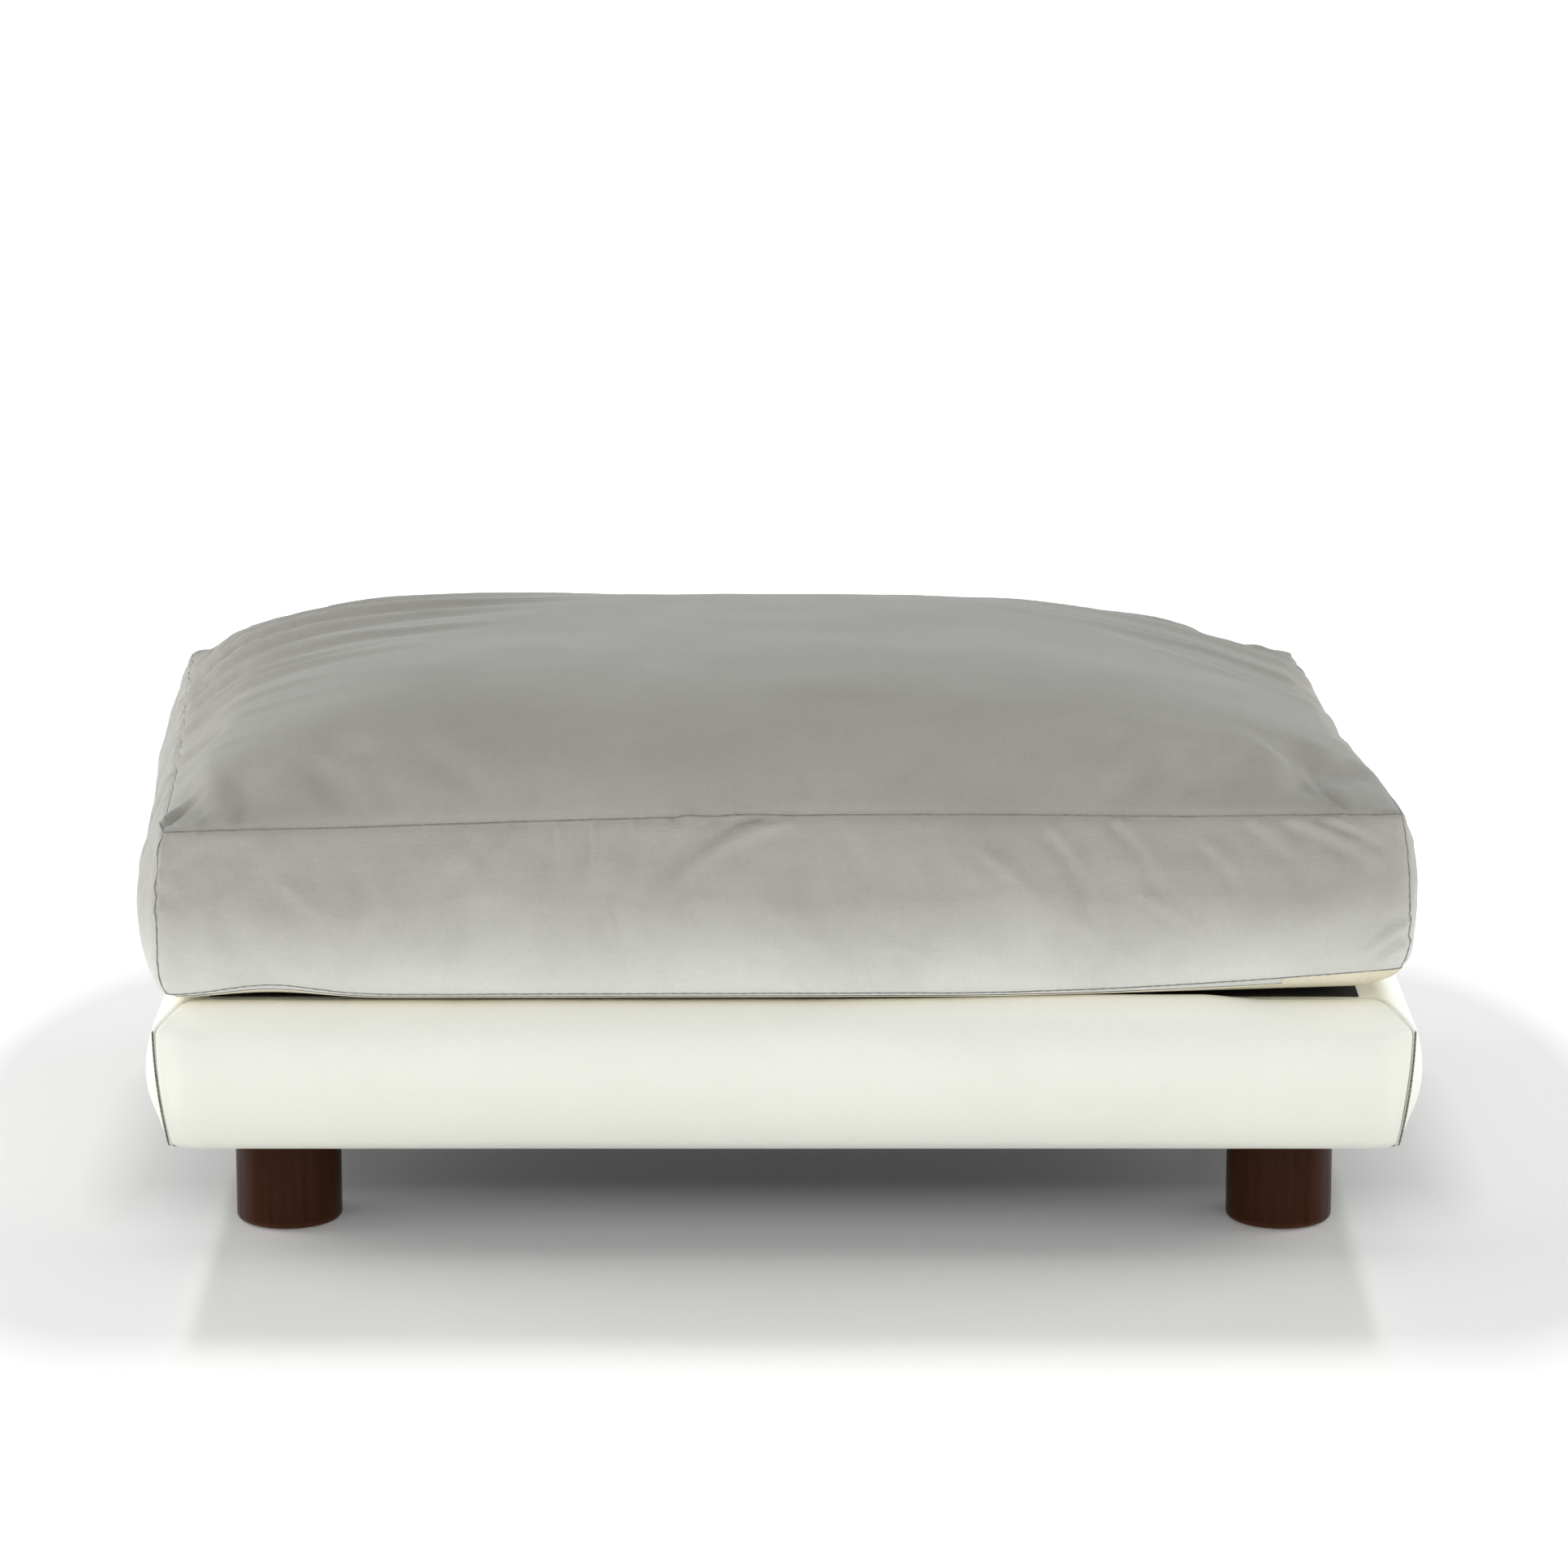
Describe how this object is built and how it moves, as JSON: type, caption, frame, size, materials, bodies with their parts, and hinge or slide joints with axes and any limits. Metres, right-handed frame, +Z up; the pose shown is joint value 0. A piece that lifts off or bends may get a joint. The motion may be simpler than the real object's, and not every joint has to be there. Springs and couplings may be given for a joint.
{
  "type": "dog bed with frame",
  "caption": "Low upholstered rectangular dog bed base on short round screw-in wooden feet, with a thick loose box-edge cushion with a zipped cover that lifts off.",
  "frame": {"origin": "on the floor under the middle of the base", "axes": "+X along the bed's length, -Y towards the front, +Z up"},
  "size_m": [0.7704, 0.5236, 0.3382],
  "materials": {
    "cushion_velvet": "matte",
    "cushion_backing": "matte",
    "faux_leather": "satin",
    "foot_wood": "satin",
    "frame_pine": "matte",
    "deck_ply": "matte",
    "foam": "matte",
    "fibre_fill": "matte",
    "dark_cloth": "matte",
    "zinc_steel": "satin",
    "glide_felt": "matte",
    "zip_cloth": "matte",
    "zip_nylon": "satin",
    "zip_metal": "satin"
  },
  "bodies": {
    "base": {"front_rail": "frame_pine", "front_pad": "foam", "front_cover": "faux_leather", "rear_rail": "frame_pine", "rear_pad": "foam", "rear_cover": "faux_leather", "left_rail": "frame_pine", "left_pad": "foam", "left_cover": "faux_leather", "right_rail": "frame_pine", "right_pad": "foam", "right_cover": "faux_leather", "deck_batten_left": "frame_pine", "deck_batten_right": "frame_pine", "deck_panel": "deck_ply", "deck_cloth": "dark_cloth", "dust_cover": "dark_cloth", "rail_screws": "zinc_steel", "block_screws": "zinc_steel", "batten_screws": "zinc_steel", "deck_screws": "zinc_steel", "underside_staples": "zinc_steel", "deck_staples": "zinc_steel", "t_nuts": "zinc_steel", "corner_block_front_left": "frame_pine", "corner_block_front_right": "frame_pine", "corner_block_rear_left": "frame_pine", "corner_block_rear_right": "frame_pine"},
    "cushion": {"cover_top_panel": "cushion_velvet", "boxing_front": "cushion_velvet", "boxing_rear": "cushion_velvet", "boxing_left": "cushion_velvet", "boxing_right": "cushion_velvet", "cover_bottom_panel": "cushion_backing", "fibre_topper": "fibre_fill", "foam_core": "foam", "zip_tape": "zip_cloth", "zip_coils": "zip_nylon"},
    "zip_runner": {"zip_slider": "zip_metal"},
    "zip_tab": {"zip_pull": "zip_metal"},
    "leg_front_left": {"foot_front_left": "foot_wood", "hanger_bolt_front_left": "zinc_steel", "foot_glide_front_left": "glide_felt"},
    "washer_front_left": {"foot_washer_front_left": "zinc_steel"},
    "leg_front_right": {"foot_front_right": "foot_wood", "hanger_bolt_front_right": "zinc_steel", "foot_glide_front_right": "glide_felt"},
    "washer_front_right": {"foot_washer_front_right": "zinc_steel"},
    "leg_rear_left": {"foot_rear_left": "foot_wood", "hanger_bolt_rear_left": "zinc_steel", "foot_glide_rear_left": "glide_felt"},
    "washer_rear_left": {"foot_washer_rear_left": "zinc_steel"},
    "leg_rear_right": {"foot_rear_right": "foot_wood", "hanger_bolt_rear_right": "zinc_steel", "foot_glide_rear_right": "glide_felt"},
    "washer_rear_right": {"foot_washer_rear_right": "zinc_steel"}
  },
  "joints": [
    {"name": "cushion_lift", "type": "slide", "parent": "base", "child": "cushion", "axis": [0, 0, 1], "range_m": [0, 0.2]},
    {"name": "zip_run", "type": "slide", "parent": "cushion", "child": "zip_runner", "axis": [-1, 0, 0], "range_m": [0, 0.53]},
    {"name": "zip_tab_flip", "type": "hinge", "parent": "zip_runner", "child": "zip_tab", "pos_m": [0.268, 0.2629, 0.21545], "axis": [0, 0, -1], "range_deg": [0, 180]},
    {"name": "foot_drop_front_left", "type": "slide", "parent": "base", "child": "washer_front_left", "axis": [0, 0, -1], "range_m": [0, 0.01501]},
    {"name": "foot_screw_front_left", "type": "hinge", "parent": "washer_front_left", "child": "leg_front_left", "pos_m": [-0.306, -0.172, 0.03], "axis": [0, 0, -1], "range_deg": [0, 4320]},
    {"name": "foot_drop_front_right", "type": "slide", "parent": "base", "child": "washer_front_right", "axis": [0, 0, -1], "range_m": [0, 0.01501]},
    {"name": "foot_screw_front_right", "type": "hinge", "parent": "washer_front_right", "child": "leg_front_right", "pos_m": [0.306, -0.172, 0.03], "axis": [0, 0, -1], "range_deg": [0, 4320]},
    {"name": "foot_drop_rear_left", "type": "slide", "parent": "base", "child": "washer_rear_left", "axis": [0, 0, -1], "range_m": [0, 0.01501]},
    {"name": "foot_screw_rear_left", "type": "hinge", "parent": "washer_rear_left", "child": "leg_rear_left", "pos_m": [-0.306, 0.172, 0.03], "axis": [0, 0, -1], "range_deg": [0, 4320]},
    {"name": "foot_drop_rear_right", "type": "slide", "parent": "base", "child": "washer_rear_right", "axis": [0, 0, -1], "range_m": [0, 0.01501]},
    {"name": "foot_screw_rear_right", "type": "hinge", "parent": "washer_rear_right", "child": "leg_rear_right", "pos_m": [0.306, 0.172, 0.03], "axis": [0, 0, -1], "range_deg": [0, 4320]}
  ],
  "couplings": [
    {"joint": "foot_drop_front_left", "follows": "foot_screw_front_left", "m_per_rad": 0.00019894},
    {"joint": "foot_drop_front_right", "follows": "foot_screw_front_right", "m_per_rad": 0.00019894},
    {"joint": "foot_drop_rear_left", "follows": "foot_screw_rear_left", "m_per_rad": 0.00019894},
    {"joint": "foot_drop_rear_right", "follows": "foot_screw_rear_right", "m_per_rad": 0.00019894}
  ]
}
